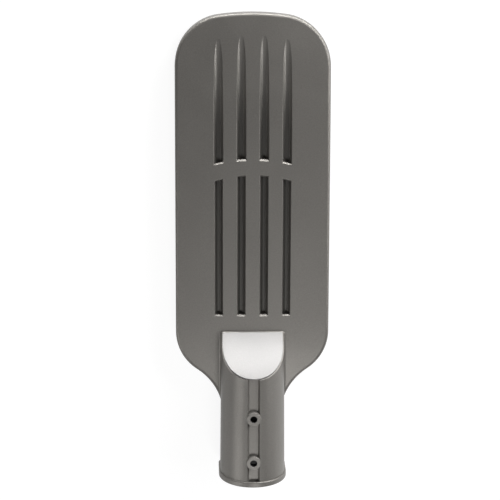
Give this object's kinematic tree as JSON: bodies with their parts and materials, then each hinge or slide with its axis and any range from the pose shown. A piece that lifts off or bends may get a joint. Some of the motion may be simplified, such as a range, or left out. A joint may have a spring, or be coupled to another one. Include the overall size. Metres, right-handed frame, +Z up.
{
  "type": "led street light",
  "caption": "Flat street light head with a grooved die-cast back, a clamped spigot socket at one end and a glazed LED window below.",
  "frame": {"origin": "centre of the spigot socket's mouth, on the bore's axis", "axes": "+Y from the socket's mouth to the head's tip, +Z up out of the grooved back, +X to the right as seen from above"},
  "size_m": [0.1634, 0.4944, 0.0816],
  "materials": {
    "body_coat": "satin grey powder coat on die-cast aluminium",
    "plate_light": "light satin coat on a thin plate",
    "seal_rubber": "matt silicone rubber",
    "steel": "stainless, plain",
    "brass": "plain brass",
    "clear_glass": "clear toughened glass",
    "clear_plastic": "clear polycarbonate",
    "board_white": "white solder mask on an aluminium core",
    "emitter_yellow": "phosphor yellow",
    "white_plastic": "moulded, matt",
    "driver_case": "plain drawn aluminium, potted",
    "blue_plastic": "moulded",
    "lead_brown": "insulation",
    "lead_blue": "insulation",
    "lead_green": "insulation",
    "lead_red": "insulation",
    "lead_black": "insulation",
    "black_nylon": "moulded nylon"
  },
  "bodies": {
    "root": {"housing": "body_coat", "front_frame": "body_coat", "blank_plate": "plate_light", "frame_gasket": "seal_rubber", "glass_seal": "seal_rubber", "lead_grommet": "seal_rubber", "gland_seal": "seal_rubber", "gland_washer": "seal_rubber", "frame_screws": "steel", "board_screws": "steel", "driver_screws": "steel", "earth_screw": "steel", "terminal_screws": "brass", "earth_lug": "brass", "glass_cover": "clear_glass", "lens_array": "clear_plastic", "led_board": "board_white", "led_emitters": "emitter_yellow", "board_connector": "white_plastic", "terminal_block": "white_plastic", "led_driver": "driver_case", "surge_protector": "blue_plastic", "surge_leads": "lead_black", "live_lead": "lead_brown", "neutral_lead": "lead_blue", "earth_lead": "lead_green", "led_lead_positive": "lead_red", "led_lead_negative": "lead_black", "gland_body": "black_nylon", "gland_nut": "black_nylon", "gland_cap": "black_nylon", "breather_vent": "black_nylon"}
  },
  "joints": []
}
